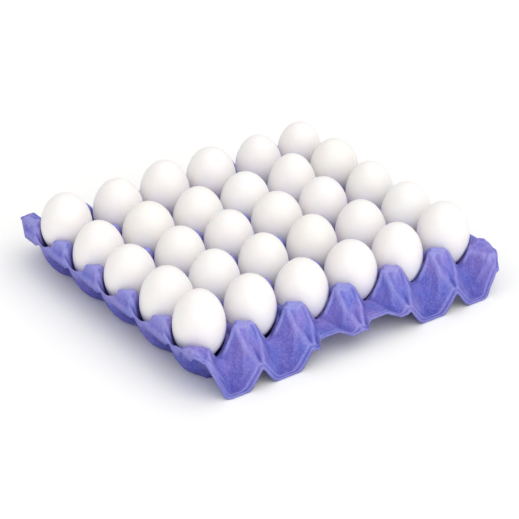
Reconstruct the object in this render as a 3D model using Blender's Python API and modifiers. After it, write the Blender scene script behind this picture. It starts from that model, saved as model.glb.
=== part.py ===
"""Moulded pulp tray with thirty cells, carrying thirty white hens' eggs.

The tray is one sheet of pulp: a height surface over a plan grid, thinned out by Decimate and
then extruded straight down by the sheet's thickness.
Each egg is its own solid of revolution, lowered into its cell until it almost meets the walls.
Lengths are in metres. X runs along the six-cell side, Y along the five-cell side, Z is up.
"""
import math
from collections import namedtuple

import bmesh
import bpy

# ---------------------------------------------------------------- cells
COLUMNS = 6
ROWS = 5
PITCH = 0.049                   # centre to centre of two neighbouring cells, both ways

# ---------------------------------------------------------------- tray heights
SHEET = 0.0018                  # thickness of the pulp
DEEPEST_DROP = 0.0048           # most that the sheet measures straight down, where it is steep
TRAY_HEIGHT = 0.0445            # ground to the flat tops of the posts
SHOULDER_TOP = 0.0415           # foot of the bevel round each flat top
WALL_TOP = 0.0335               # crest, half way between two posts, of the walls that run along Y
SADDLE_TOP = 0.0215             # crest, half way between two posts, of the walls that run along X

# ---------------------------------------------------------------- posts
POST_FLAT = 0.0052              # centre of a post to the edge of its flat top, across a corner face
POST_SHOULDER = 0.008           # centre of a post to the foot of the bevel, the same way
POST_SLOPE = 2.4                # fall per unit of run down a corner face that looks outward
POST_SLOPE_IN = 4.0             # the same for a corner face towards an egg
CREST_START = 0.008             # centre of a post to where the crests of its walls start to fall
EDGE_POST_X = 0.0015            # short-side posts stand this far inside the outer cell line
EDGE_POST_Y = 0.004             # long-side posts stand this far inside the outer cell line

# ---------------------------------------------------------------- walls between cells
WALL_HALF = 0.0015              # half the width of the crest of a wall along Y
WALL_SLOPE = 3.2                # fall per unit of run down that wall
# the outer walls along Y curve in like a bowl: (distance inside the outer cell line, fall from the crest)
OUTER_FALL = ((-0.0018, 0.0), (0.0025, 0.0135), (0.0075, 0.0225), (0.0125, 0.0285), (0.0185, 0.0335),
              (0.0245, 0.0465))
SADDLE_HALF = 0.003             # half the width of the crest of a wall along X
SADDLE_SLOPE = 3.2              # fall per unit of run down that wall, inside the tray
SKIRT_SLOPE = 1.05              # the same on the outside of the tray

# ---------------------------------------------------------------- outside edge
RIM_OUT = 0.0035                # rim of the short sides, outside the outer cell line
RIM_TOP_OUT = -0.0005           # where the steep outer faces of the short-side posts start
RIM_FOOT = 0.0325               # where those faces meet the rim
SKIRT_OUT = 0.023               # skirt of the long sides, outside the outer cell line
LEDGE_OUT = 0.0205              # finger ledges of the long sides, outside the outer cell line
RIDGE_LINE = ((0.0, 0.0545), (0.0125, 0.0345), (0.027, 0.0174))     # a skirt ridge on its way out
RIDGE_HALF = ((0.012, 0.008), (0.027, 0.001))       # half the width of its flat, on its way out
RIDGE_SIDE = 1.35               # fall per unit of run beside that flat

# ---------------------------------------------------------------- corners
# top: height of the corner post; foot: height of the rim below it; side: fall per unit of run down
# the inner side of its ridge; ridge: (distance outside the post, height) along its ridge; outline:
# the trimmed corner as (distance in from the rim, distance in from the skirt's edge)
Corner = namedtuple("Corner", "top foot side ridge outline")
CORNER_REACH = 0.0225           # the part of both edges that a corner's outline takes up
FALLING_RIDGE = ((0.005, 0.038), (0.0095, 0.035), (0.017, 0.033), (0.023, 0.0125), (0.028, 0.004))
RAISED_RIDGE = ((0.011, 0.0445), (0.021, 0.039))
LONG_CUT = ((0.0, CORNER_REACH), (0.0065, 0.010), (0.0125, 0.0055), (0.0175, 0.0022), (CORNER_REACH, 0.0))
SHORT_CUT = ((0.0, CORNER_REACH), (0.0, 0.013), (0.0045, 0.004), (0.0145, 0.0025), (CORNER_REACH, 0.0))
RAISED_CUT = ((0.0, CORNER_REACH), (0.005, 0.0086), (0.0064, 0.006), (0.0165, 0.0055), (CORNER_REACH, 0.0))
CORNERS = {
    (-1, -1): Corner(0.0400, 0.0345, 1.6, FALLING_RIDGE, LONG_CUT),
    (1, -1): Corner(0.0390, 0.0365, 1.6, FALLING_RIDGE, SHORT_CUT),
    (-1, 1): Corner(0.0445, 0.0335, 1.25, RAISED_RIDGE, RAISED_CUT),
    (1, 1): Corner(0.0400, 0.0345, 1.6, FALLING_RIDGE, SHORT_CUT),
}
POST_CAP = (0.003, (0.010, 0.0345))     # where a lower corner post starts and ends to slope off
RAISED_LIP = ((-0.0035, 0.030), (0.002, 0.0385), (0.012, 0.0405), (0.021, 0.0355), (0.033, 0.0))
RAISED_SLOPE = 1.3              # rise per unit of run from the last row's crest out to that lip

# ---------------------------------------------------------------- finger ledges
LEDGE_COLUMNS = (2, 3)          # the cells of each long side that carry a ledge in place of a foot
LEDGE_TOP = 0.0232
LEDGE_FLAT = (0.009, 0.027)     # where the ledge is level, from the post line before it
LEDGE_END = 0.0385              # where it has run down to the post line after it
LEDGE_LOW = 0.0165
LEDGE_STEP = 3.0                # fall per unit of run of the step at its start

# ---------------------------------------------------------------- eggs
EGG_GAP = 0.0005                # level clearance between an egg and its cell
EGG_LIFT = 0.0005               # upright clearance between an egg and its cell
EGG_SEGMENTS = 12
EGG_BANDS = 6
# each egg: width and length in millimetres, taper in hundredths (how much blunter its lower end is),
# and how far it stands off its cell's middle along X and Y, in millimetres; one group per row of
# cells, from the front row to the back row
EGGS = (
    ((42.5, 59.5, 7, -1.5, 2), (42.5, 56.5, 7, -1, 3), (44, 55, 10, 0, 2),
     (43.5, 55.5, 4, 0.5, 1.5), (43.5, 57, 11, 0, 2), (44.5, 58.5, 1, 0, 2)),
    ((45, 59, 13, 0, -0.5), (43, 55.5, 9, -1, 2.5), (42, 54, 9, -1.5, 2.5),
     (43, 55.5, 12, -1, 2.5), (43.5, 56, 10, -0.5, 0.5), (43.5, 57, 9, -1, 0)),
    ((43, 53, 5, -1.5, 1.5), (43, 55, 8, -1, 2), (42.5, 54.5, 5, -1.5, 1.5),
     (44.5, 55.5, 4, -0.5, 2.5), (42.5, 54, 9, -1.5, 2), (42, 56, 13, -1.5, 0.5)),
    ((44.5, 58, 16, -0.5, 0), (45, 57, 5, -0.5, 0), (44.5, 58, 10, 0, -1),
     (44, 56.5, 5, -0.5, -1), (43.5, 59.5, 18, -0.5, -2), (43, 55.5, 5, -2, 0.5)),
    ((43.5, 55, 10, -2.5, -2), (44, 57, 11, 0.5, -1), (43.5, 56.5, 13, -0.5, 0),
     (43.5, 54.5, 5, -1.5, -0.5), (42, 55.5, 14, 0.5, -0.5), (39, 49.5, 6, -2.5, 1)),
)

# ---------------------------------------------------------------- plan grid
GRID_STEP = 0.0025              # spacing of the plan grid before it is thinned out
KEPT_SHARE = 0.11               # share of its triangles that the finished sheet keeps

HALF_X = COLUMNS * PITCH / 2
HALF_Y = ROWS * PITCH / 2


def post_lines(count, inset):
    """Positions of the post lines across the tray, the outer ones drawn in by the inset."""
    half = count * PITCH / 2
    lines = [index * PITCH - half for index in range(count + 1)]
    lines[0] += inset
    lines[-1] -= inset
    return lines


POSTS_X = post_lines(COLUMNS, EDGE_POST_X)
POSTS_Y = post_lines(ROWS, EDGE_POST_Y)


def nearest(lines, value):
    """Distance from a value to the closest line."""
    return min(abs(value - line) for line in lines)


def along(points, value):
    """Height on a line of (position, height) points, held level past its ends."""
    if value <= points[0][0]:
        return points[0][1]
    for (start, low), (end, high) in zip(points, points[1:]):
        if value <= end:
            return low + (high - low) * (value - start) / (end - start)
    return points[-1][1]


def crest(run, middle):
    """Height of a wall's crest at a run from its post, down to the given height half way."""
    left = max(0.0, PITCH / 2 - max(run, CREST_START)) / (PITCH / 2 - CREST_START)
    return middle + (TRAY_HEIGHT - middle) * left * left


def post_height(dx, dy, slope):
    """Height of a post's flat top, its bevel and its four corner faces."""
    across = (dx + dy) / math.sqrt(2.0)
    if across < POST_SHOULDER:
        return along(((POST_FLAT, TRAY_HEIGHT), (POST_SHOULDER, SHOULDER_TOP)), across)
    return SHOULDER_TOP - slope * (across - POST_SHOULDER)


def ledge_height(x, y):
    """Height of the finger ledge at a point of the skirt, or zero where there is none."""
    column = int(math.floor((x + HALF_X) / PITCH))
    if column not in LEDGE_COLUMNS or abs(y) < HALF_Y - EDGE_POST_Y:
        return 0.0
    run = x + HALF_X - column * PITCH
    if y > 0.0:
        run = PITCH - run
    if run < LEDGE_FLAT[0]:
        return max(LEDGE_LOW, LEDGE_TOP - LEDGE_STEP * (LEDGE_FLAT[0] - run))
    return along(((LEDGE_FLAT[1], LEDGE_TOP), (LEDGE_END, LEDGE_LOW)), run)


def inner_height(x, y, dx, dy):
    """Height of the sheet between the outer rows of posts."""
    wall = crest(dy, WALL_TOP)
    saddle = crest(dx, SADDLE_TOP)
    post = min(post_height(dx, dy, POST_SLOPE_IN), max(wall, saddle))
    inward = HALF_X - abs(x)
    if inward < PITCH / 2:
        wall -= along(OUTER_FALL, inward)
    else:
        wall_x = nearest([index * PITCH - HALF_X for index in range(1, COLUMNS)], x)
        wall -= WALL_SLOPE * max(0.0, wall_x - WALL_HALF)
    saddle -= SADDLE_SLOPE * max(0.0, dy - SADDLE_HALF)
    return max(post, wall, saddle)


def corner_at(x, y):
    """The corner whose quarter of the tray holds a point."""
    return CORNERS[(-1 if x < 0.0 else 1), (-1 if y < 0.0 else 1)]


def corner_skirt(x, y, dx, dy):
    """Height of the skirt next to a corner post."""
    corner = corner_at(x, y)
    height = along(corner.ridge, dy) - corner.side * max(0.0, dx - POST_FLAT)
    if corner.outline == RAISED_CUT:
        lip = along(RAISED_LIP, HALF_X - abs(x))
        height = max(height, min(lip, SADDLE_TOP + RAISED_SLOPE * (dy - SADDLE_HALF)))
    return height


def skirt_height(x, y, dx, dy):
    """Height of the sheet outside the outer rows of posts, where it runs down to the feet."""
    saddle = crest(dx, SADDLE_TOP) - SKIRT_SLOPE * max(0.0, dy - SADDLE_HALF)
    ridge = along(RIDGE_LINE, dy) - RIDGE_SIDE * max(0.0, dx - along(RIDGE_HALF, dy))
    skirt = min(ridge, max(saddle, post_height(dx, dy, POST_SLOPE)))
    if abs(x) > HALF_X - PITCH * 0.7:
        skirt = max(skirt, corner_skirt(x, y, abs(abs(x) - POSTS_X[-1]), dy))
    return max(skirt, ledge_height(x, y))


def rim_height(x, y):
    """Height that the steep outer faces of the short sides allow at a point outside their start."""
    outward = (abs(x) - HALF_X - RIM_TOP_OUT) / (RIM_OUT - RIM_TOP_OUT)
    foot = along(((PITCH / 4, RIM_FOOT), (PITCH * 0.8, corner_at(x, y).foot)), abs(y) - POSTS_Y[-2])
    return TRAY_HEIGHT + (foot - TRAY_HEIGHT) * outward


def top_height(x, y):
    """Height of the upper surface of the tray above the ground."""
    dx = nearest(POSTS_X, x)
    dy = nearest(POSTS_Y, y)
    outside = abs(y) > POSTS_Y[-1]
    height = skirt_height(x, y, dx, dy) if outside else inner_height(x, y, dx, dy)
    corner = corner_at(x, y)
    if corner.top < TRAY_HEIGHT and abs(x) > HALF_X - PITCH / 2 and abs(y) > HALF_Y - PITCH / 2:
        height = min(height, along(((POST_CAP[0], corner.top), POST_CAP[1]), (dx + dy) / math.sqrt(2.0)))
    if abs(x) > HALF_X + RIM_TOP_OUT:
        height = min(height, rim_height(x, y))
    return max(SHEET, height)


def material(name, colour, roughness):
    """One plain Principled material."""
    made = bpy.data.materials.new(name)
    made.use_nodes = True
    shader = made.node_tree.nodes["Principled BSDF"]
    shader.inputs["Base Color"].default_value = (*colour, 1.0)
    shader.inputs["Roughness"].default_value = roughness
    made.diffuse_color = (*colour, 1.0)
    return made


def add_object(name, mesh, made, home):
    """Puts a mesh into the collection as an object with its own material."""
    mesh.materials.append(made)
    built = bpy.data.objects.new(name, mesh)
    home.objects.link(built)
    return built


def reach_of(outline, across, up):
    """How many times a direction from a corner's inner point fits before it meets the outline."""
    for (first_in, first_up), (last_in, last_up) in zip(outline, outline[1:]):
        start = (CORNER_REACH - first_in, CORNER_REACH - first_up)
        step = (first_in - last_in, first_up - last_up)
        turn = across * step[1] - up * step[0]
        if abs(turn) < 1e-12:
            continue
        place = (start[1] * across - start[0] * up) / -turn
        if -1e-9 <= place <= 1.0 + 1e-9:
            return (start[0] * step[1] - start[1] * step[0]) / turn
    return 1.0


def draw_in(x, y):
    """Plan position of a point once the corners are trimmed and the ledges drawn in."""
    across = abs(x) - (HALF_X + RIM_OUT - CORNER_REACH)
    up = abs(y) - (HALF_Y + SKIRT_OUT - CORNER_REACH)
    if across > 0.0 and up > 0.0:
        out = max(across, up) / CORNER_REACH
        share = reach_of(corner_at(x, y).outline, across, up) * out
        x -= math.copysign(across * (1.0 - share), x)
        y -= math.copysign(up * (1.0 - share), y)
    past = (abs(y) - HALF_Y) / SKIRT_OUT
    if past > 0.0 and ledge_height(x, y) > LEDGE_LOW + 0.0005:
        y = math.copysign(HALF_Y + past * LEDGE_OUT, y)
    return x, y


def height_sheet():
    """The upper surface of the whole tray: a plan grid raised to the height surface."""
    width = 2.0 * (HALF_X + RIM_OUT)
    depth = 2.0 * (HALF_Y + SKIRT_OUT)
    sheet = bmesh.new()
    bmesh.ops.create_grid(sheet, x_segments=round(width / GRID_STEP),
                          y_segments=round(depth / GRID_STEP), size=0.5)
    for vertex in sheet.verts:
        x, y = draw_in(vertex.co.x * width, vertex.co.y * depth)
        vertex.co = (x, y, top_height(x, y))
    bmesh.ops.triangulate(sheet, faces=sheet.faces[:], quad_method='SHORT_EDGE')
    mesh = bpy.data.meshes.new("height sheet")
    sheet.to_mesh(mesh)
    sheet.free()
    return mesh


def thinned_out(mesh, home):
    """The same surface with fewer triangles, carried out by Decimate on a passing object."""
    passing = bpy.data.objects.new("passing", mesh)
    home.objects.link(passing)
    passing.modifiers.new("thin out", 'DECIMATE').ratio = KEPT_SHARE
    graph = bpy.context.evaluated_depsgraph_get()
    thin = bpy.data.meshes.new_from_object(passing.evaluated_get(graph))
    bpy.data.objects.remove(passing, do_unlink=True)
    return thin


def thicken(mesh):
    """Gives the surface the sheet's thickness, straight down, so that no fold can cut itself."""
    sheet = bmesh.new()
    sheet.from_mesh(mesh)
    sheet.normal_update()
    lower = sheet.verts[:]
    under = [max(0.0, vertex.co.z - min(SHEET / max(vertex.normal.z, 0.05), DEEPEST_DROP))
             for vertex in lower]
    floor = sheet.faces[:]
    bmesh.ops.extrude_face_region(sheet, geom=floor, use_keep_orig=True)
    for vertex, height in zip(lower, under):
        vertex.co.z = height
    bmesh.ops.recalc_face_normals(sheet, faces=sheet.faces[:])
    sheet.to_mesh(mesh)
    sheet.free()


def build_tray(home):
    """The whole tray, one sheet of pulp."""
    mesh = thinned_out(height_sheet(), home)
    thicken(mesh)
    mesh.name = "tray"
    mesh.materials.clear()
    pulp = material("blue violet pulp", (0.17, 0.14, 0.52), 0.9)
    return add_object("tray", mesh, pulp, home)


def egg_radius(share, half_width, taper):
    """Radius of an egg at a share of its half length above (or below) its middle."""
    def shape(at):
        return math.sqrt(max(0.0, 1.0 - at * at) / (1.0 + taper * at))
    widest = max(shape(step / 50.0) for step in range(-25, 26))
    return half_width * shape(share) / widest


def seat_height(x, y, half_width, half_length, taper):
    """Lowest height for the middle of an egg that clears the cell walls all round."""
    seat = 0.0
    for level in range(1, 40):
        share = -level / 40.0
        radius = egg_radius(share, half_width, taper) + EGG_GAP
        for turn in range(48):
            angle = 2.0 * math.pi * turn / 48
            under = top_height(x + radius * math.cos(angle), y + radius * math.sin(angle))
            seat = max(seat, under + EGG_LIFT - share * half_length)
    return seat


def build_egg(row, column, shell, home):
    """One egg: its outline spun about the upright axis with Screw."""
    width, length, hundredths, lean_x, lean_y = EGGS[row][column]
    half_width, half_length, taper = width / 2000.0, length / 2000.0, hundredths / 100.0
    x = (column + 0.5) * PITCH - HALF_X + lean_x / 1000.0
    y = (row + 0.5) * PITCH - HALF_Y + lean_y / 1000.0
    outline = bmesh.new()
    previous = None
    for band in range(EGG_BANDS + 1):
        share = -math.cos(math.pi * band / EGG_BANDS)
        radius = egg_radius(share, half_width, taper) if 0 < band < EGG_BANDS else 0.0
        vertex = outline.verts.new((radius, 0.0, share * half_length))
        if previous is not None:
            outline.edges.new((previous, vertex))
        previous = vertex
    name = f"egg_{row + 1}_{column + 1}"
    mesh = bpy.data.meshes.new(name)
    outline.to_mesh(mesh)
    outline.free()
    egg = add_object(name, mesh, shell, home)
    spin = egg.modifiers.new("spin", 'SCREW')
    spin.steps = EGG_SEGMENTS
    spin.render_steps = EGG_SEGMENTS
    spin.use_merge_vertices = True
    spin.merge_threshold = 0.0001
    spin.use_smooth_shade = True
    spin.use_normal_calculate = True
    egg.location = (x, y, seat_height(x, y, half_width, half_length, taper))
    return egg


def main():
    """Clears the file and builds the tray and its eggs."""
    for old in list(bpy.data.objects):
        bpy.data.objects.remove(old, do_unlink=True)
    home = bpy.data.collections.new("egg_tray_with_eggs")
    bpy.context.scene.collection.children.link(home)
    build_tray(home)
    for row in range(ROWS):
        for column in range(COLUMNS):
            shell = material(f"white shell {row + 1} {column + 1}", (0.86, 0.84, 0.81), 0.45)
            build_egg(row, column, shell, home)


main()
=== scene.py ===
"""Looks for an egg tray with eggs: the moulded pulp sheet, thirty hens' eggs, floor, light and camera.

Lengths are in metres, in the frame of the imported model: X runs along the six-cell side, Y along the
five-cell side towards the back, and Z is up, with the ground at zero.
"""

import logging
import math
from dataclasses import dataclass, field
from enum import Enum

import bmesh
import bpy
import numpy as np
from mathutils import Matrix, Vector


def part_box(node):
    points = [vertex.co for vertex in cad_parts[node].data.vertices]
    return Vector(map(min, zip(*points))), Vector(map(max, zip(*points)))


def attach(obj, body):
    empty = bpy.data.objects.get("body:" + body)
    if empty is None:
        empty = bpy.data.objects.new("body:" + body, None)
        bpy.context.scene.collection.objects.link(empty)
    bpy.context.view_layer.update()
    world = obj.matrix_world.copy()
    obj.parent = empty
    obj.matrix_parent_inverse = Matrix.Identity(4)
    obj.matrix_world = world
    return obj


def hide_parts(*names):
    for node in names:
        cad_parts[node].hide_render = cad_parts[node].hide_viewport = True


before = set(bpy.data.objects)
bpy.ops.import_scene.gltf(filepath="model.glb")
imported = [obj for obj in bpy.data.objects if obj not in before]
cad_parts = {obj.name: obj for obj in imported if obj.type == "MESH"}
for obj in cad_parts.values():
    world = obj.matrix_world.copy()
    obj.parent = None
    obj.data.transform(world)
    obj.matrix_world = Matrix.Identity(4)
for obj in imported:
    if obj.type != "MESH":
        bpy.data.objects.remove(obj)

log = logging.getLogger("egg_tray")

Array = np.ndarray
Point = tuple[float, float]


# ------------------------------------------------------------------------------------------------
# Small sums on whole arrays
# ------------------------------------------------------------------------------------------------
def raise_to(first: Array, second: Array, width: float) -> Array:
    """The higher of two surfaces, with a rounded hollow where they meet.

    Args:
        first: heights of one surface.
        second: heights of the other.
        width: height difference within which the join is rounded.

    Returns:
        The joined heights.
    """
    share = np.clip(0.5 + 0.5 * (first - second) / width, 0.0, 1.0)
    return second + (first - second) * share + width * share * (1.0 - share)


def lower_to(first: Array, second: Array, width: float) -> Array:
    """The lower of two surfaces, with a rounded edge where they meet.

    Args:
        first: heights of one surface.
        second: heights of the other.
        width: height difference within which the edge is rounded.

    Returns:
        The joined heights.
    """
    return -raise_to(-first, -second, width)


def along(points: tuple[Point, ...], value: Array) -> Array:
    """Heights on a line of (position, height) points, held level past its ends.

    Args:
        points: the line's points, in order of position.
        value: positions to read.

    Returns:
        The heights there.
    """
    return np.interp(value, [point[0] for point in points], [point[1] for point in points])


def curving(points: tuple[Point, ...], value: Array, reach: float) -> Array:
    """Heights on the same kind of line with its corners rounded off.

    Args:
        points: the line's points, in order of position.
        value: positions to read.
        reach: how far to both sides the line is averaged.

    Returns:
        The heights there.
    """
    return sum(along(points, value + reach * step / 3.0) for step in range(-3, 4)) / 7.0


def nearest(lines: Array, value: Array) -> Array:
    """Distance from each value to the closest line.

    Args:
        lines: positions of the lines.
        value: positions to measure.

    Returns:
        The distances.
    """
    return np.abs(value[..., None] - lines).min(axis=-1)


@dataclass(frozen=True)
class Grain:
    """Smooth seeded unevenness over the plan, between -1 and 1."""

    size: float
    seed: int
    lattice: int = 256

    def at(self, x: Array, y: Array) -> Array:
        """Reads the unevenness.

        Args:
            x: plan positions along X.
            y: plan positions along Y.

        Returns:
            One value per position.
        """
        knots = np.random.default_rng(self.seed).uniform(-1.0, 1.0, (self.lattice, self.lattice))
        u, v = x / self.size + self.lattice, y / self.size + self.lattice
        column, row = np.floor(u).astype(int), np.floor(v).astype(int)
        across, up = u - column, v - row
        across = across * across * (3.0 - 2.0 * across)
        up = up * up * (3.0 - 2.0 * up)
        left, right = column % self.lattice, (column + 1) % self.lattice
        near, far = row % self.lattice, (row + 1) % self.lattice
        low = knots[near, left] * (1.0 - across) + knots[near, right] * across
        high = knots[far, left] * (1.0 - across) + knots[far, right] * across
        return low * (1.0 - up) + high * up


# ------------------------------------------------------------------------------------------------
# Form of the tray
# ------------------------------------------------------------------------------------------------
class Skirt(Enum):
    """How a corner of the tray runs out."""

    FALLING = "falling"
    RAISED = "raised"


@dataclass(frozen=True)
class Corner:
    """One corner of the tray: its post, its ridge and the way it is trimmed."""

    top: float
    foot: float
    side: float
    skirt: Skirt
    outline: tuple[Point, ...]


@dataclass
class TrayForm:
    """The height surface of the tray and its trimmed outline, all from a few sizes."""

    columns: int = 6
    rows: int = 5
    pitch: float = 0.049
    sheet: float = 0.0018
    deepest_drop: float = 0.0046
    tray_height: float = 0.0445
    shoulder_top: float = 0.0415
    wall_top: float = 0.0335
    saddle_top: float = 0.0215
    post_flat: float = 0.0052
    post_shoulder: float = 0.008
    post_slope: float = 2.4
    post_slope_in: float = 4.0
    crest_start: float = 0.008
    edge_post_x: float = 0.0015
    edge_post_y: float = 0.004
    wall_half: float = 0.0015
    wall_slope: float = 3.2
    outer_fall: tuple[Point, ...] = (
        (-0.0018, 0.0), (0.0025, 0.0135), (0.0075, 0.0225), (0.0125, 0.0285), (0.0185, 0.0335),
        (0.0245, 0.0465))
    saddle_half: float = 0.003
    saddle_slope: float = 3.2
    skirt_slope: float = 1.05
    rim_out: float = 0.0035
    rim_top_out: float = -0.0005
    rim_foot: float = 0.0325
    skirt_out: float = 0.023
    ledge_out: float = 0.0205
    ridge_line: tuple[Point, ...] = ((0.0, 0.0545), (0.0125, 0.0345), (0.027, 0.0174))
    ridge_half: tuple[Point, ...] = ((0.012, 0.008), (0.027, 0.001))
    ridge_side: float = 1.35
    corner_reach: float = 0.0225
    post_cap: tuple[float, float, float] = (0.003, 0.010, 0.0345)
    falling_ridge: tuple[Point, ...] = (
        (0.005, 0.038), (0.0095, 0.035), (0.017, 0.033), (0.023, 0.0125), (0.028, 0.004))
    raised_ridge: tuple[Point, ...] = ((0.011, 0.0445), (0.021, 0.039))
    raised_lip: tuple[Point, ...] = (
        (-0.0035, 0.030), (0.002, 0.0385), (0.012, 0.0405), (0.021, 0.0355), (0.033, 0.0))
    raised_slope: float = 1.3
    ledge_columns: tuple[int, ...] = (2, 3)
    ledge_top: float = 0.0232
    ledge_flat: tuple[float, float] = (0.009, 0.027)
    ledge_end: float = 0.0385
    ledge_low: float = 0.0165
    ledge_step: float = 3.0
    rounding: float = 0.0014
    toe_rounding: float = 0.0055
    blend: float = 0.0015
    corners: dict[tuple[int, int], Corner] = field(init=False)

    def __post_init__(self) -> None:
        """Works out the lines and corners that follow from the sizes."""
        self.half_x = self.columns * self.pitch / 2
        self.half_y = self.rows * self.pitch / 2
        self.cells_x = np.arange(self.columns + 1) * self.pitch - self.half_x
        self.posts_x = self.cells_x.copy()
        self.posts_x[[0, -1]] += (self.edge_post_x, -self.edge_post_x)
        self.posts_y = np.arange(self.rows + 1) * self.pitch - self.half_y
        self.posts_y[[0, -1]] += (self.edge_post_y, -self.edge_post_y)
        reach = self.corner_reach
        long_cut = ((0.0, reach), (0.0065, 0.010), (0.0125, 0.0055), (0.0175, 0.0022), (reach, 0.0))
        short_cut = ((0.0, reach), (0.0, 0.013), (0.0045, 0.004), (0.0145, 0.0025), (reach, 0.0))
        raised_cut = ((0.0, reach), (0.005, 0.0086), (0.0064, 0.006), (0.0165, 0.0055), (reach, 0.0))
        self.corners = {
            (-1, -1): Corner(0.0400, 0.0345, 1.6, Skirt.FALLING, long_cut),
            (1, -1): Corner(0.0390, 0.0365, 1.6, Skirt.FALLING, short_cut),
            (-1, 1): Corner(0.0445, 0.0335, 1.25, Skirt.RAISED, raised_cut),
            (1, 1): Corner(0.0400, 0.0345, 1.6, Skirt.FALLING, short_cut),
        }

    def crest(self, run: Array, middle: float) -> Array:
        """Height of a wall's crest.

        Args:
            run: distance from the wall's post.
            middle: height of the crest half way to the next post.

        Returns:
            The heights.
        """
        span = self.pitch / 2 - self.crest_start
        left = np.maximum(0.0, self.pitch / 2 - np.maximum(run, self.crest_start)) / span
        return middle + (self.tray_height - middle) * left * left

    def post(self, dx: Array, dy: Array, slope: float) -> Array:
        """Height of a post's flat top, its bevel and its four corner faces.

        Args:
            dx: distance from the post along X.
            dy: distance from the post along Y.
            slope: fall per unit of run down a corner face.

        Returns:
            The heights.
        """
        across = (dx + dy) / math.sqrt(2.0)
        bevel_fall = (self.tray_height - self.shoulder_top) / (self.post_shoulder - self.post_flat)
        bevel = self.tray_height - bevel_fall * (across - self.post_flat)
        face = self.shoulder_top - slope * (across - self.post_shoulder)
        top = lower_to(np.full_like(across, self.tray_height), bevel, 0.5 * self.rounding)
        return lower_to(top, face, self.rounding)

    def ledge(self, x: Array, y: Array) -> Array:
        """Height of the finger ledges, zero where there is none.

        Args:
            x: plan positions along X.
            y: plan positions along Y.

        Returns:
            The heights.
        """
        column = np.floor((x + self.half_x) / self.pitch)
        run = x + self.half_x - column * self.pitch
        run = np.where(y > 0.0, self.pitch - run, run)
        ramp = along(((self.ledge_flat[1], self.ledge_top), (self.ledge_end, self.ledge_low)), run)
        step = np.maximum(self.ledge_low, self.ledge_top - self.ledge_step * (self.ledge_flat[0] - run))
        level = np.where(run < self.ledge_flat[0], step, ramp)
        carried = np.isin(column, self.ledge_columns) & (np.abs(y) > self.half_y - self.edge_post_y)
        return np.where(carried, level, 0.0)

    def inside(self, x: Array, y: Array, dx: Array, dy: Array) -> Array:
        """Height of the sheet between the outer rows of posts.

        Args:
            x: plan positions along X.
            y: plan positions along Y; not used.
            dx: distances from the nearest posts along X.
            dy: distances from the nearest posts along Y.

        Returns:
            The heights.
        """
        wall = self.crest(dy, self.wall_top)
        saddle = self.crest(dx, self.saddle_top)
        post = np.minimum(self.post(dx, dy, self.post_slope_in), np.maximum(wall, saddle))
        inward = self.half_x - np.abs(x)
        bowl = curving(self.outer_fall, inward, self.blend)
        between = self.wall_slope * self.past(nearest(self.cells_x[1:-1], x), self.wall_half)
        wall = wall - np.where(inward < self.pitch / 2, bowl, between)
        saddle = saddle - self.saddle_slope * self.past(dy, self.saddle_half)
        return raise_to(raise_to(wall, saddle, self.rounding), post, self.rounding)

    def past(self, distance: Array, half: Array | float) -> Array:
        """How far a distance is past a wall's half width, with a rounded start.

        Args:
            distance: distances from the wall's middle.
            half: half the width of its crest.

        Returns:
            Distances past the half width, never below zero.
        """
        return raise_to(distance - half, np.zeros_like(distance), 0.6 * self.rounding)

    def corner_skirt(self, x: Array, y: Array, dy: Array) -> Array:
        """Height of the skirts next to the four corner posts.

        Args:
            x: plan positions along X.
            y: plan positions along Y.
            dy: distances outside the outer row of posts.

        Returns:
            The heights, very low away from the corners.
        """
        dx = np.abs(np.abs(x) - self.posts_x[-1])
        height = np.full_like(x, -1.0)
        for (side_x, side_y), corner in self.corners.items():
            here = (x * side_x > self.half_x - self.pitch * 0.7) & (y * side_y > 0.0)
            raised = corner.skirt is Skirt.RAISED
            ridge = curving(self.raised_ridge if raised else self.falling_ridge, dy, self.blend)
            ridge = ridge - corner.side * self.past(dx, self.post_flat)
            if raised:
                lip = curving(self.raised_lip, self.half_x - np.abs(x), self.blend)
                bowl = self.saddle_top + self.raised_slope * (dy - self.saddle_half)
                ridge = raise_to(ridge, lower_to(lip, bowl, self.rounding), self.rounding)
            height = np.where(here, ridge, height)
        return height

    def outside(self, x: Array, y: Array, dx: Array, dy: Array) -> Array:
        """Height of the sheet outside the outer rows of posts, down to the feet.

        Args:
            x: plan positions along X.
            y: plan positions along Y.
            dx: distances from the nearest posts along X.
            dy: distances outside the outer row of posts.

        Returns:
            The heights.
        """
        saddle = self.crest(dx, self.saddle_top) - self.skirt_slope * self.past(dy, self.saddle_half)
        beside = self.past(dx, curving(self.ridge_half, dy, self.blend))
        ridge = curving(self.ridge_line, dy, self.blend) - self.ridge_side * beside
        skirt = raise_to(self.post(dx, dy, self.post_slope), saddle, self.rounding)
        skirt = lower_to(ridge, skirt, self.rounding)
        skirt = raise_to(skirt, self.corner_skirt(x, y, dy), self.rounding)
        return raise_to(skirt, self.ledge(x, y), 0.8 * self.rounding)

    def rim(self, x: Array, y: Array) -> Array:
        """Height that the steep outer faces of the short sides allow.

        Args:
            x: plan positions along X.
            y: plan positions along Y.

        Returns:
            The heights, very high inside the start of those faces.
        """
        outward = (np.abs(x) - self.half_x - self.rim_top_out) / (self.rim_out - self.rim_top_out)
        run = np.abs(y) - self.posts_y[-2]
        foot = np.zeros_like(x)
        for (side_x, side_y), corner in self.corners.items():
            line = ((self.pitch / 4, self.rim_foot), (self.pitch * 0.8, corner.foot))
            foot = np.where((x * side_x >= 0.0) & (y * side_y >= 0.0), along(line, run), foot)
        return self.tray_height + (foot - self.tray_height) * outward

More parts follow.
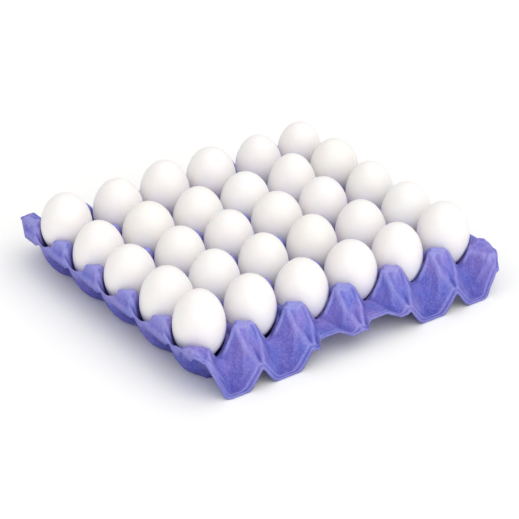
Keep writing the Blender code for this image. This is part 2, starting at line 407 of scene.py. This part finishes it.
    def top(self, x: Array, y: Array) -> Array:
        """Height of the upper surface of the tray above the ground.

        Args:
            x: plan positions along X.
            y: plan positions along Y.

        Returns:
            The heights.
        """
        dx, dy = nearest(self.posts_x, x), nearest(self.posts_y, y)
        beyond = np.abs(y) > self.posts_y[-1]
        height = np.where(beyond, self.outside(x, y, dx, dy), self.inside(x, y, dx, dy))
        start, end, low = self.post_cap
        across = (dx + dy) / math.sqrt(2.0)
        for (side_x, side_y), corner in self.corners.items():
            cap = along(((start, corner.top), (end, low)), across)
            here = (x * side_x > self.half_x - self.pitch / 2) & (y * side_y > self.half_y - self.pitch / 2)
            here &= corner.top < self.tray_height
            height = np.where(here, lower_to(height, cap, 0.5 * self.rounding), height)
        height = lower_to(height, np.maximum(self.rim(x, y), 0.0), 0.4 * self.rounding)
        toe = np.where(beyond, self.toe_rounding, 1.5 * self.rounding)
        return raise_to(height, np.full_like(height, self.sheet), toe)

    def reach_of(self, outline: tuple[Point, ...], across: float, up: float) -> float:
        """How often a direction from a corner's inner point fits before it meets the outline.

        Args:
            outline: the trimmed corner.
            across: the direction's part along X.
            up: the direction's part along Y.

        Returns:
            The number of times that the direction fits.
        """
        for (first_in, first_up), (last_in, last_up) in zip(outline, outline[1:]):
            start = (self.corner_reach - first_in, self.corner_reach - first_up)
            step = (first_in - last_in, first_up - last_up)
            turn = across * step[1] - up * step[0]
            if abs(turn) < 1e-12:
                continue
            place = (start[0] * up - start[1] * across) / turn
            if -1e-9 <= place <= 1.0 + 1e-9:
                return (start[0] * step[1] - start[1] * step[0]) / turn
        return 1.0

    def trimmed(self, x: Array, y: Array) -> tuple[Array, Array]:
        """Plan positions once the corners are trimmed and the ledges drawn in.

        Args:
            x: positions along X on the square grid.
            y: positions along Y on the square grid.

        Returns:
            The trimmed positions along X and Y.
        """
        x, y = x.copy(), y.copy()
        across = np.abs(x) - (self.half_x + self.rim_out - self.corner_reach)
        up = np.abs(y) - (self.half_y + self.skirt_out - self.corner_reach)
        for index in np.flatnonzero((across > 0.0) & (up > 0.0)):
            side = (1 if x[index] > 0.0 else -1, 1 if y[index] > 0.0 else -1)
            out = max(across[index], up[index]) / self.corner_reach
            outline = self.corners[side].outline
            left = 1.0 - out * self.reach_of(outline, across[index], up[index])
            x[index] -= side[0] * across[index] * left
            y[index] -= side[1] * up[index] * left
        past = (np.abs(y) - self.half_y) / self.skirt_out
        drawn = (past > 0.0) & (self.ledge(x, y) > self.ledge_low + 0.0005)
        y = np.where(drawn, np.copysign(self.half_y + past * self.ledge_out, y), y)
        return x, y


# ------------------------------------------------------------------------------------------------
# Shader nodes
# ------------------------------------------------------------------------------------------------
class Amount:
    """A number socket on which Python's operators add Math nodes."""

    def __init__(self, nodes: "NodeSheet", socket: bpy.types.NodeSocket) -> None:
        """Keeps the socket and the sheet it is on."""
        self.nodes = nodes
        self.socket = socket

    def sum_with(self, operation: str, first: object, second: object) -> "Amount":
        """Adds one Math node.

        Args:
            operation: the node's operation.
            first: value or Amount for its first socket.
            second: value or Amount for its second socket.

        Returns:
            The node's result.
        """
        node = self.nodes.add("ShaderNodeMath", {"operation": operation}, {0: first, 1: second})
        return Amount(self.nodes, node.outputs[0])

    def __add__(self, other: object) -> "Amount":
        """This plus the other."""
        return self.sum_with("ADD", self, other)

    __radd__ = __add__

    def __sub__(self, other: object) -> "Amount":
        """This minus the other."""
        return self.sum_with("SUBTRACT", self, other)

    def __rsub__(self, other: object) -> "Amount":
        """The other minus this."""
        return self.sum_with("SUBTRACT", other, self)

    def __mul__(self, other: object) -> "Amount":
        """This times the other."""
        return self.sum_with("MULTIPLY", self, other)

    __rmul__ = __mul__

    def __pow__(self, other: object) -> "Amount":
        """This to the power of the other."""
        return self.sum_with("POWER", self, other)

    def least(self, other: object) -> "Amount":
        """The lower of this and the other."""
        return self.sum_with("MINIMUM", self, other)

    def most(self, other: object) -> "Amount":
        """The higher of this and the other."""
        return self.sum_with("MAXIMUM", self, other)


class NodeSheet:
    """The node tree of one material, with its Principled shader."""

    def __init__(self, name: str) -> None:
        """Makes an empty material with a Principled shader and an output."""
        self.material = bpy.data.materials.new(name)
        self.material.use_nodes = True
        self.tree = self.material.node_tree
        self.tree.nodes.clear()
        self.shader = self.add("ShaderNodeBsdfPrincipled")
        self.add("ShaderNodeOutputMaterial", sockets={"Surface": self.shader.outputs[0]})

    def add(self, kind: str, settings: dict | None = None, sockets: dict | None = None) -> bpy.types.Node:
        """Adds one node.

        Args:
            kind: the node's type.
            settings: its own settings, set first; "stops" holds a ramp's (place, colour) stops.
            sockets: values, sockets or Amounts for its input sockets, by name or number.

        Returns:
            The node.
        """
        node = self.tree.nodes.new(kind)
        for name, value in (settings or {}).items():
            if name == "stops":
                self.set_stops(node, value)
            else:
                setattr(node, name, value)
        for name, value in (sockets or {}).items():
            if isinstance(value, Amount):
                self.tree.links.new(value.socket, node.inputs[name])
            elif isinstance(value, bpy.types.NodeSocket):
                self.tree.links.new(value, node.inputs[name])
            else:
                node.inputs[name].default_value = value
        return node

    def set_stops(self, ramp: bpy.types.Node, stops: tuple) -> None:
        """Gives a colour ramp its stops.

        Args:
            ramp: the colour ramp node.
            stops: (place, colour) pairs, in order.
        """
        elements = ramp.color_ramp.elements
        while len(elements) < len(stops):
            elements.new(0.5)
        for element, (place, colour) in zip(elements, stops):
            element.position = place
            element.color = (*colour, 1.0)

    def place(self, stretch: tuple[float, float, float] = (1.0, 1.0, 1.0)) -> bpy.types.NodeSocket:
        """The position on the object, in metres, stretched along each axis.

        Args:
            stretch: factors along X, Y and Z.

        Returns:
            The position's socket.
        """
        where = self.add("ShaderNodeTexCoord")
        mapping = self.add("ShaderNodeMapping", {"vector_type": "POINT"},
                           {"Vector": where.outputs["Object"], "Scale": stretch})
        return mapping.outputs[0]

    def noise(self, per_metre: float, detail: float = 2.0, rough: float = 0.5,
              stretch: tuple[float, float, float] = (1.0, 1.0, 1.0)) -> Amount:
        """Noise around 0.5.

        Args:
            per_metre: how many swells it has to the metre.
            detail: its octaves.
            rough: how strong the fine octaves are.
            stretch: factors along X, Y and Z.

        Returns:
            The noise.
        """
        node = self.add("ShaderNodeTexNoise", {"noise_dimensions": "3D"},
                        {"Vector": self.place(stretch), "Scale": per_metre, "Detail": detail,
                         "Roughness": rough})
        return Amount(self, node.outputs["Fac"])

    def between(self, value: Amount, low: float, high: float) -> Amount:
        """Spreads a value's range from low to high over 0 to 1.

        Args:
            value: what to spread.
            low: value that becomes 0.
            high: value that becomes 1.

        Returns:
            The spread value, held between 0 and 1.
        """
        node = self.add("ShaderNodeMapRange", {"clamp": True},
                        {"Value": value, "From Min": low, "From Max": high})
        return Amount(self, node.outputs[0])

    def height(self) -> Amount:
        """The height on the object, in metres."""
        apart = self.add("ShaderNodeSeparateXYZ", sockets={0: self.place()})
        return Amount(self, apart.outputs[2])

    def painted(self, name: str) -> Amount:
        """A value that the mesh carries at its points, by its name."""
        node = self.add("ShaderNodeAttribute", {"attribute_name": name})
        return Amount(self, node.outputs["Fac"])

    def mix(self, share: Amount | float, first: object, second: object, how: str = "MIX") -> object:
        """Mixes two colours.

        Args:
            share: how much of the second.
            first: colour or colour socket.
            second: colour or colour socket.
            how: the blend type.

        Returns:
            The mixed colour's socket.
        """
        node = self.add("ShaderNodeMix", {"data_type": "RGBA", "blend_type": how})
        for index, value in ((0, share), (6, first), (7, second)):
            if isinstance(value, Amount):
                self.tree.links.new(value.socket, node.inputs[index])
            elif isinstance(value, bpy.types.NodeSocket):
                self.tree.links.new(value, node.inputs[index])
            elif index:
                node.inputs[index].default_value = (*value, 1.0)
            else:
                node.inputs[index].default_value = value
        return node.outputs[2]

    def bump(self, height: Amount, depth: float, strength: float = 1.0,
             under: bpy.types.NodeSocket | None = None) -> bpy.types.NodeSocket:
        """Raises and lowers the surface in its shading.

        Args:
            height: heights from 0 to 1.
            depth: what a height of 1 stands for, in metres.
            strength: how strongly it shows.
            under: a normal that this one is laid over.

        Returns:
            The new normal's socket.
        """
        sockets = {"Height": height, "Distance": depth, "Strength": strength}
        if under is not None:
            sockets["Normal"] = under
        return self.add("ShaderNodeBump", sockets=sockets).outputs[0]

    def connect(self, name: str, value: Amount | bpy.types.NodeSocket) -> None:
        """Links a value to one of the shader's sockets, by its name."""
        socket = value.socket if isinstance(value, Amount) else value
        self.tree.links.new(socket, self.shader.inputs[name])

    def fix(self, **values: float) -> None:
        """Sets shader sockets that stay the same all over, named with underscores for spaces."""
        for name, value in values.items():
            self.shader.inputs[name.replace("_", " ")].default_value = value


Colour = tuple[float, float, float]


@dataclass(frozen=True)
class PulpFinish:
    """Dyed moulded pulp: felted, matt, mottled, paler on its cut edges and rubbed ridges; painted light on
    the post tops and painted shade in creases, dents, on the underside and low down.
    """

    blue: Colour = (0.165, 0.185, 0.63)
    violet: Colour = (0.265, 0.212, 0.62)
    # Dark tone for streaks and mottle, and for the painted shade in creases, dents, on the underside and
    # low on the sheet.
    deep: Colour = (0.050, 0.050, 0.33)
    # Pale tone for fibres and rubbed edges, and for the painted light on the post tops.
    pale: Colour = (0.44, 0.44, 0.84)
    # Heights over which the painted shade towards the ground fades: full at low, gone at high.
    low: float = 0.004
    high: float = 0.034
    roughness: float = 0.93

    def material(self) -> bpy.types.Material:
        """Makes the material, and returns it."""
        sheet = NodeSheet("moulded pulp")
        patches = sheet.between(sheet.noise(34.0, 3.0, 0.6), 0.40, 0.60)
        colour = sheet.mix(patches, self.blue, self.violet)
        height = sheet.between(sheet.height(), self.low, self.high)
        # Painted shade towards the ground, broken into patches: darker low on the sheet.
        painted_low_shade = (1.0 - height) * sheet.between(sheet.noise(60.0, 2.0, 0.5), 0.30, 0.62)
        colour = sheet.mix(painted_low_shade * 0.55, colour, self.deep)
        streaks = sheet.between(sheet.noise(240.0, 2.0, 0.5, (1.0, 1.0, 0.14)), 0.38, 0.64)
        colour = sheet.mix(streaks * 0.30, colour, self.deep)
        mottle = sheet.between(sheet.noise(420.0, 3.0, 0.6), 0.34, 0.66)
        colour = sheet.mix(mottle * 0.22, colour, self.deep)
        fibres = sheet.between(sheet.noise(1100.0, 2.0, 0.6, (1.0, 1.0, 0.4)), 0.48, 0.70)
        colour = sheet.mix(fibres * 0.28, colour, self.pale)
        # Painted shade: darker in creases, in the dents, in the groove by the cut edge and all over the
        # underside.
        colour = sheet.mix(sheet.painted("painted_shade") * 0.85, colour, self.deep)
        # Paler on rubbed ridges and cut edges, and painted light on the flat post tops.
        worn_and_lit = sheet.painted("worn_and_lit") * (0.70 + 0.30 * sheet.between(sheet.noise(420.0), 0.35, 0.65))
        colour = sheet.mix(worn_and_lit.least(1.0), colour, self.pale)
        sheet.connect("Base Color", colour)
        sheet.fix(Roughness=self.roughness, Specular_IOR_Level=0.25)
        coarse = sheet.bump(sheet.noise(300.0, 3.0, 0.6), 0.0016, 0.75)
        felt = sheet.noise(900.0, 3.0, 0.6)
        sheet.connect("Normal", sheet.bump(felt, 0.0006, 0.8, coarse))
        return sheet.material


class ShellTone(Enum):
    """The slight differences in white from egg to egg."""

    CLEAR = (0.90, 0.885, 0.87)
    WARM = (0.90, 0.875, 0.85)
    CREAM = (0.895, 0.87, 0.83)
    ROSY = (0.90, 0.87, 0.858)


@dataclass(frozen=True)
class ShellFinish:
    """White eggshell: fine pores, faint blotches, a soft sheen."""

    tone: ShellTone
    roughness: float = 0.42

    def material(self) -> bpy.types.Material:
        """Makes the material, and returns it."""
        sheet = NodeSheet(f"eggshell {self.tone.name.lower()}")
        white = self.tone.value
        shade = (white[0] * 0.955, white[1] * 0.935, white[2] * 0.905)
        blotches = sheet.between(sheet.noise(70.0, 3.0, 0.55), 0.40, 0.75)
        specks = sheet.between(sheet.noise(1600.0, 2.0, 0.5), 0.60, 0.80)
        colour = sheet.mix(blotches * 0.5, white, shade)
        sheet.connect("Base Color", sheet.mix(specks * 0.35, colour, shade))
        sheet.connect("Roughness", self.roughness + 0.10 * sheet.noise(320.0, 2.0))
        sheet.fix(Specular_IOR_Level=0.42, Subsurface_Weight=0.12, Subsurface_Scale=0.002)
        pores = sheet.noise(2600.0, 2.0, 0.5)
        waves = sheet.bump(sheet.noise(130.0, 2.0, 0.5), 0.0005, 0.22)
        sheet.connect("Normal", sheet.bump(pores, 0.00006, 0.5, waves))
        return sheet.material


@dataclass(frozen=True)
class FloorFinish:
    """Smooth white table top."""

    white: Colour = (0.97, 0.97, 0.955)
    roughness: float = 0.5

    def material(self) -> bpy.types.Material:
        """Makes the material, and returns it."""
        sheet = NodeSheet("white table top")
        sheet.fix(Base_Color=(*self.white, 1.0), Roughness=self.roughness,
                  Specular_IOR_Level=0.2)
        return sheet.material


# ------------------------------------------------------------------------------------------------
# Pieces
# ------------------------------------------------------------------------------------------------
def new_piece(name: str, mesh: bpy.types.Mesh, material: bpy.types.Material) -> bpy.types.Object:
    """Puts a mesh into the scene, smooth, with its material.

    Args:
        name: the object's name.
        mesh: its mesh.
        material: its material.

    Returns:
        The object.
    """
    mesh.materials.append(material)
    mesh.shade_smooth()
    piece = bpy.data.objects.new(name, mesh)
    bpy.context.scene.collection.objects.link(piece)
    return piece


@dataclass
class PulpTray:
    """The sheet of pulp, with its relief, rubbed edges and pressed dents, painted light on its post tops
    and painted shade in its creases, dents and underside.
    """

    form: TrayForm = field(default_factory=TrayForm)
    finish: PulpFinish = field(default_factory=PulpFinish)
    spacing: float = 0.00125
    swell: float = 0.00022
    felt: float = 0.00010
    edge_bulge: float = 0.0003
    edge_width: float = 0.0016
    dent_depth: float = 0.0030
    dent_place: Point = (0.0004, 0.0202)
    dent_size: Point = (0.0012, 0.0038)
    dent_slant: float = 0.2
    fold: Point = (0.0030, 0.0009)
    edge_wear: float = 0.38
    # Painted light on the flat post tops.
    painted_top_light: float = 0.55
    bead: float = 0.00028
    cup_slope: float = 1.0
    cup_top: float = 0.037
    cup_reach: float = 0.0075
    cup_gap: float = 0.0009
    cup_parting: float = 0.30
    eggs: list["HensEgg"] = field(default_factory=list)

    def pressed(self, x: Array, y: Array, offset: float) -> Array:
        """Strength of a long mark down each ridge of the long sides.

        Args:
            x: plan positions along X.
            y: plan positions along Y.
            offset: how far the mark lies beside the dents.

        Returns:
            The strengths, from 0 to 1.
        """
        facing = np.where(y > 0.0, -1.0, 1.0)
        run = np.abs(y) - self.form.posts_y[-1] - self.dent_place[1]
        strength = np.zeros_like(x)
        for post in self.form.posts_x[1:-1]:
            middle = self.dent_place[0] + offset + self.dent_slant * run
            across = ((x - post) * facing - middle) / self.dent_size[0]
            strength += np.exp(-across * across - (run / self.dent_size[1]) ** 2)
        return strength

    def cup(self, x: Array, y: Array) -> Array:
        """Height of the wider, softer top that each wall presses out towards its egg.

        Args:
            x: plan positions along X.
            y: plan positions along Y.

        Returns:
            The heights, very low away from the walls.
        """
        form = self.form
        aside, ahead = nearest(form.cells_x[1:-1], x), nearest(form.posts_y, y)
        beside = nearest(form.posts_x, x)
        wall = form.wall_top - self.cup_slope * form.past(aside, form.wall_half)
        saddle = np.minimum(form.crest(beside, form.saddle_top), self.cup_top)
        share = np.clip((form.half_x - np.abs(x)) / self.cup_reach - 1.0, 0.0, 1.0)
        slope = form.saddle_slope + (self.cup_slope - form.saddle_slope) * share
        saddle = saddle - slope * form.past(ahead, form.saddle_half) - form.rounding * (1.0 - share)
        wall = np.where(aside < self.cup_reach, wall, -1.0)
        saddle = np.where((ahead < self.cup_reach) & (share > 0.0), saddle, -1.0)
        level = np.where(np.abs(y) < form.posts_y[-1], np.maximum(wall, saddle), -1.0)
        for egg in self.eggs:
            middle = egg.measure()[0]
            here = (np.abs(x - middle.x) < form.pitch / 2) & (np.abs(y - middle.y) < form.pitch / 2)
            under = egg.underside(x[here], y[here]) - self.cup_gap
            below = np.maximum(0.0, level[here] - under)
            level[here] = np.minimum(level[here], under - self.cup_parting * below)
        return level

    def shaped(self, x: Array, y: Array) -> Array:
        """Height of the smooth upper surface, with its soft wall tops.

        Args:
            x: plan positions along X.
            y: plan positions along Y.

        Returns:
            The heights.
        """
        return raise_to(self.form.top(x, y), self.cup(x, y), self.form.rounding)

    def surface(self, x: Array, y: Array) -> Array:
        """Height of the finished upper surface.

        Args:
            x: plan positions along X.
            y: plan positions along Y.

        Returns:
            The heights.
        """
        smooth = self.shaped(x, y)
        relief = self.swell * Grain(0.0085, 3).at(x, y) + self.felt * Grain(0.0031, 5).at(x, y)
        beside, height = self.fold
        marks = height * self.pressed(x, y, beside) - self.dent_depth * self.pressed(x, y, 0.0)
        lifted = smooth + relief + marks
        return np.clip(lifted, self.form.sheet, self.form.tray_height + 0.0001)

    def build_mesh(self) -> bpy.types.Mesh:
        """Makes the closed sheet: upper surface, lower surface and a rounded cut edge.

        Returns:
            The mesh, with its values for rubbing and painted light, and for painted shade.
        """
        form = self.form
        width = 2.0 * (form.half_x + form.rim_out - self.edge_bulge)
        depth = 2.0 * (form.half_y + form.skirt_out - self.edge_bulge)
        sheet = bmesh.new()
        worn_and_lit_mark = sheet.verts.layers.float.new("worn_and_lit")
        painted_shade_mark = sheet.verts.layers.float.new("painted_shade")
        bmesh.ops.create_grid(sheet, x_segments=round(width / self.spacing),
                              y_segments=round(depth / self.spacing), size=0.5)
        plan = np.array([vertex.co[:2] for vertex in sheet.verts])
        x, y = form.trimmed(plan[:, 0] * width, plan[:, 1] * depth)
        ring = np.minimum((0.5 - np.abs(plan[:, 0])) * width, (0.5 - np.abs(plan[:, 1])) * depth)
        ring = np.round(ring / self.spacing).astype(int)
        along_skirt = np.abs(plan[:, 1] * depth) > form.posts_y[-1]
        z = self.surface(x, y)
        z += np.where(along_skirt, self.bead * ((ring == 2) * 1.0 - (ring == 1) * 1.0), 0.0)
        z = np.maximum(z, form.sheet)
        for vertex, place in zip(sheet.verts, np.stack((x, y, z), axis=1)):
            vertex.co = place
        sheet.normal_update()
        lower = sheet.verts[:]
        steep = np.array([max(vertex.normal.z, 0.05) for vertex in lower])
        under = np.maximum(0.0, z - np.minimum(form.sheet / steep, form.deepest_drop))
        worn_and_lit, painted_shade = self.marks(sheet, x, y, z)
        # The bead along the cut edge of the long sides: paler on its ridge, and painted shade in the groove
        # between the ridge and the edge.
        worn_and_lit = np.maximum(worn_and_lit, np.where(along_skirt & (ring == 2), 0.45, 0.0))
        painted_shade = np.maximum(painted_shade, np.where(along_skirt & (ring == 1), 0.35, 0.0))
        for vertex, wear_and_light, shade in zip(lower, worn_and_lit, painted_shade):
            vertex[worn_and_lit_mark] = wear_and_light
            vertex[painted_shade_mark] = shade
        bmesh.ops.extrude_face_region(sheet, geom=sheet.faces[:], use_keep_orig=True)
        for vertex, height in zip(lower, under):
            vertex.co.z = height
            # Painted shade all over the underside.
            vertex[painted_shade_mark] = 0.35
        self.round_edge(sheet, worn_and_lit_mark)
        bmesh.ops.recalc_face_normals(sheet, faces=sheet.faces[:])
        mesh = bpy.data.meshes.new("pulp_tray")
        sheet.to_mesh(mesh)
        sheet.free()
        return mesh

    def marks(self, sheet: bmesh.types.BMesh, x: Array, y: Array, z: Array) -> tuple[Array, Array]:
        """Works out where the pulp is paler, rubbed on ridges and cut edges and with painted light on the
        post tops, and where painted shade darkens creases and dents.

        Args:
            sheet: the upper surface.
            x: its points' positions along X.
            y: their positions along Y.
            z: their heights.

        Returns:
            Rubbing with painted light, and painted shade, from 0 to 1, for each point.
        """
        step = 0.0022
        form = self.form
        around = sum(self.shaped(x + across * step, y + up * step)
                     for across, up in ((1, 0), (-1, 0), (0, 1), (0, -1))) / 4.0
        curve = (self.shaped(x, y) - around) / step
        worn_and_lit = np.clip(curve * 0.9, 0.0, 0.55)
        # Painted shade in creases and concave bends.
        painted_shade = np.clip(-curve * 0.8, 0.0, 0.8)
        # Painted light on the flat post tops.
        worn_and_lit = np.maximum(worn_and_lit, self.painted_top_light * (z > form.tray_height - 0.0006))
        edges = np.array([vertex.is_boundary for vertex in sheet.verts])
        worn_and_lit = np.where(edges, self.edge_wear, worn_and_lit)
        # Painted shade in the pressed dents as well.
        return worn_and_lit, np.clip(np.maximum(painted_shade, self.pressed(x, y, 0.0)), 0.0, 1.0)

    def round_edge(self, sheet: bmesh.types.BMesh, worn_and_lit_mark: bmesh.types.BMLayerItem) -> None:
        """Gives the cut edge a middle line that stands out a little.

        Args:
            sheet: the closed sheet, with straight walls along its cut edge.
            worn_and_lit_mark: the layer that holds each point's rubbing and painted light.
        """
        walls = [edge for edge in sheet.edges
                 if abs(edge.verts[0].co.x - edge.verts[1].co.x) < 1e-7
                 and abs(edge.verts[0].co.y - edge.verts[1].co.y) < 1e-7]
        for edge in walls:
            for vertex in edge.verts:
                vertex[worn_and_lit_mark] = self.edge_wear
        made = bmesh.ops.subdivide_edges(sheet, edges=walls, cuts=1)
        middle = [item for item in made["geom_inner"] if isinstance(item, bmesh.types.BMVert)]
        for vertex in middle:
            out = Vector((0.0, 0.0, 0.0))
            for face in vertex.link_faces:
                out += face.normal
            out.z = 0.0
            if out.length > 1e-9:
                vertex.co += out.normalized() * self.edge_bulge
            vertex[worn_and_lit_mark] = 0.6 * self.edge_wear

    def build(self) -> bpy.types.Object:
        """Makes the dressed tray in place of its solid.

        Returns:
            The tray's object.
        """
        tray = new_piece("pulp_tray", self.build_mesh(), self.finish.material())
        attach(tray, "root")
        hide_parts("tray")
        log.info("pulp tray: %d faces", len(tray.data.polygons))
        return tray


@dataclass
class HensEgg:
    """One egg, as wide, long and high as its solid."""

    row: int
    column: int
    taper: float
    segments: int = 48
    bands: int = 36
    unevenness: float = 0.0001

    @property
    def node(self) -> str:
        """Name of the egg's solid."""
        return f"egg_{self.row}_{self.column}"

    def radius(self, share: Array) -> Array:
        """Radius of the outline, as a share of the largest.

        Args:
            share: heights above the middle, as a share of half the length.

        Returns:
            The radii.
        """
        shape = np.sqrt(np.maximum(0.0, 1.0 - share * share) / (1.0 + self.taper * share))
        fine = np.linspace(-0.5, 0.5, 201)
        widest = np.sqrt((1.0 - fine * fine) / (1.0 + self.taper * fine)).max()
        return shape / widest

    def measure(self) -> tuple[Vector, float, float]:
        """Reads the egg's solid.

        Returns:
            Its middle, half its width and half its length.
        """
        low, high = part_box(self.node)
        half_width = min(high[0] - low[0], high[1] - low[1]) / 2.0
        return (Vector(low) + Vector(high)) / 2.0, half_width, (high[2] - low[2]) / 2.0

    def underside(self, x: Array, y: Array) -> Array:
        """Height of the egg's lower surface over the plan.

        Args:
            x: plan positions along X.
            y: plan positions along Y.

        Returns:
            The heights, held at the widest level past the egg's edge.
        """
        middle, half_width, half_length = self.measure()
        share = np.linspace(-1.0, -0.02, 99)
        return middle.z + half_length * np.interp(
            np.hypot(x - middle.x, y - middle.y), self.radius(share) * half_width, share)

    def build_mesh(self) -> tuple[bpy.types.Mesh, Vector]:
        """Spins the outline into a closed, slightly uneven shell.

        Returns:
            The mesh about the egg's middle, and the place of that middle.
        """
        middle, half_width, half_length = self.measure()
        shell = bmesh.new()
        bmesh.ops.create_uvsphere(shell, u_segments=self.segments, v_segments=self.bands, radius=1.0)
        points = np.array([vertex.co[:] for vertex in shell.verts])
        reach = np.hypot(points[:, 0], points[:, 1])
        share = points[:, 2]
        turn = np.arctan2(points[:, 1], points[:, 0])
        seed = self.row * 10 + self.column
        sway = Grain(1.3, seed).at(np.cos(turn) * 2.0 + 4.0, share * 2.0 + np.sin(turn) * 2.0)
        rim = self.radius(share) * half_width - self.unevenness * (1.0 + sway) * reach
        scale = np.where(reach > 1e-6, rim / np.maximum(reach, 1e-6), 0.0)
        for vertex, factor, height in zip(shell.verts, scale, share * half_length):
            vertex.co = (vertex.co.x * factor, vertex.co.y * factor, height)
        mesh = bpy.data.meshes.new(self.node)
        shell.to_mesh(mesh)
        shell.free()
        return mesh, middle

    def build(self, material: bpy.types.Material) -> bpy.types.Object:
        """Makes the dressed egg in place of its solid.

        Args:
            material: the shell's material.

        Returns:
            The egg's object.
        """
        mesh, middle = self.build_mesh()
        egg = new_piece(f"shell_{self.row}_{self.column}", mesh, material)
        egg.location = middle
        bpy.context.view_layer.update()
        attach(egg, "root")
        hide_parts(self.node)
        return egg


@dataclass
class EggSet:
    """All the eggs in the tray, with their slightly different whites."""

    tapers: tuple[tuple[float, ...], ...] = (
        (0.07, 0.07, 0.10, 0.04, 0.11, 0.01),
        (0.13, 0.09, 0.09, 0.12, 0.10, 0.09),
        (0.05, 0.08, 0.05, 0.04, 0.09, 0.13),
        (0.16, 0.05, 0.10, 0.05, 0.18, 0.05),
        (0.10, 0.11, 0.13, 0.05, 0.14, 0.06),
    )

    def lay(self) -> list[HensEgg]:
        """Lists every egg, row by row."""
        return [HensEgg(row, column, taper)
                for row, tapers in enumerate(self.tapers, start=1)
                for column, taper in enumerate(tapers, start=1)]

    def build(self) -> None:
        """Makes every egg."""
        tones = list(ShellTone)
        shells = {tone: ShellFinish(tone).material() for tone in tones}
        eggs = self.lay()
        for egg in eggs:
            tone = tones[(egg.row * 7 + egg.column * 3 + egg.row * egg.column) % len(tones)]
            egg.build(shells[tone])
        log.info("eggs: %d", len(eggs))


# ------------------------------------------------------------------------------------------------
# Studio
# ------------------------------------------------------------------------------------------------
@dataclass(frozen=True)
class SoftLight:
    """A wide soft light that shines evenly from one direction."""

    name: str
    azimuth: float
    elevation: float
    level: float
    spread: float
    colour: Colour = (1.0, 1.0, 1.0)

    def build(self) -> None:
        """Makes the light and turns it."""
        light = bpy.data.lights.new(self.name, "SUN")
        light.energy = self.level * math.pi
        light.angle = math.radians(self.spread)
        light.color = self.colour
        lamp = bpy.data.objects.new(self.name, light)
        turn, rise = math.radians(self.azimuth), math.radians(self.elevation)
        back = Vector((math.sin(turn) * math.cos(rise), -math.cos(turn) * math.cos(rise), math.sin(rise)))
        lamp.rotation_euler = (-back).to_track_quat("-Z", "Y").to_euler()
        bpy.context.scene.collection.objects.link(lamp)


@dataclass
class Studio:
    """Floor, soft light and camera."""

    azimuth: float = -36.04
    elevation: float = 29.69
    distance: float = 1.9317
    target: tuple[float, float, float] = (-0.0135, -0.0239, 0.03)
    lens: float = 162.36
    floor_half: float = 4.0
    sky: float = 0.63
    lights: tuple[SoftLight, ...] = (
        SoftLight("key", 110.0, 66.0, 0.15, 60.0),
        SoftLight("left fill", -62.0, 52.0, 0.13, 70.0),
        SoftLight("right fill", 2.0, 38.0, 0.38, 80.0),
    )

    def build_floor(self) -> bpy.types.Object:
        """Makes the floor.

        Returns:
            The floor's object.
        """
        sheet = bmesh.new()
        bmesh.ops.create_grid(sheet, x_segments=2, y_segments=2, size=self.floor_half)
        mesh = bpy.data.meshes.new("floor")
        sheet.to_mesh(mesh)
        sheet.free()
        floor = new_piece("floor", mesh, FloorFinish().material())
        return floor

    def build_sky(self) -> None:
        """Lights everything evenly from all round."""
        world = bpy.data.worlds.new("studio")
        world.use_nodes = True
        background = world.node_tree.nodes["Background"]
        background.inputs["Color"].default_value = (1.0, 1.0, 1.0, 1.0)
        background.inputs["Strength"].default_value = self.sky
        bpy.context.scene.world = world

    def build_camera(self) -> None:
        """Makes the camera and turns it to the tray."""
        data = bpy.data.cameras.new("camera")
        data.lens = self.lens
        data.sensor_width = 36.0
        data.clip_end = 20.0
        camera = bpy.data.objects.new("camera", data)
        turn, rise = math.radians(self.azimuth), math.radians(self.elevation)
        back = Vector((math.sin(turn) * math.cos(rise), -math.cos(turn) * math.cos(rise), math.sin(rise)))
        camera.location = Vector(self.target) + back * self.distance
        camera.rotation_euler = (-back).to_track_quat("-Z", "Y").to_euler()
        bpy.context.scene.collection.objects.link(camera)
        bpy.context.scene.camera = camera

    def build(self) -> None:
        """Makes the whole studio."""
        self.build_floor()
        self.build_sky()
        for light in self.lights:
            light.build()
        self.build_camera()
        bpy.context.scene.view_settings.view_transform = "Standard"
        log.info("studio: %d lights", len(self.lights))


def main() -> None:
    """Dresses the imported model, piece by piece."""
    logging.basicConfig(level=logging.INFO)
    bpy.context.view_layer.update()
    eggs = EggSet()
    PulpTray(eggs=eggs.lay()).build()
    eggs.build()
    Studio().build()


if __name__ == "__main__":
    main()
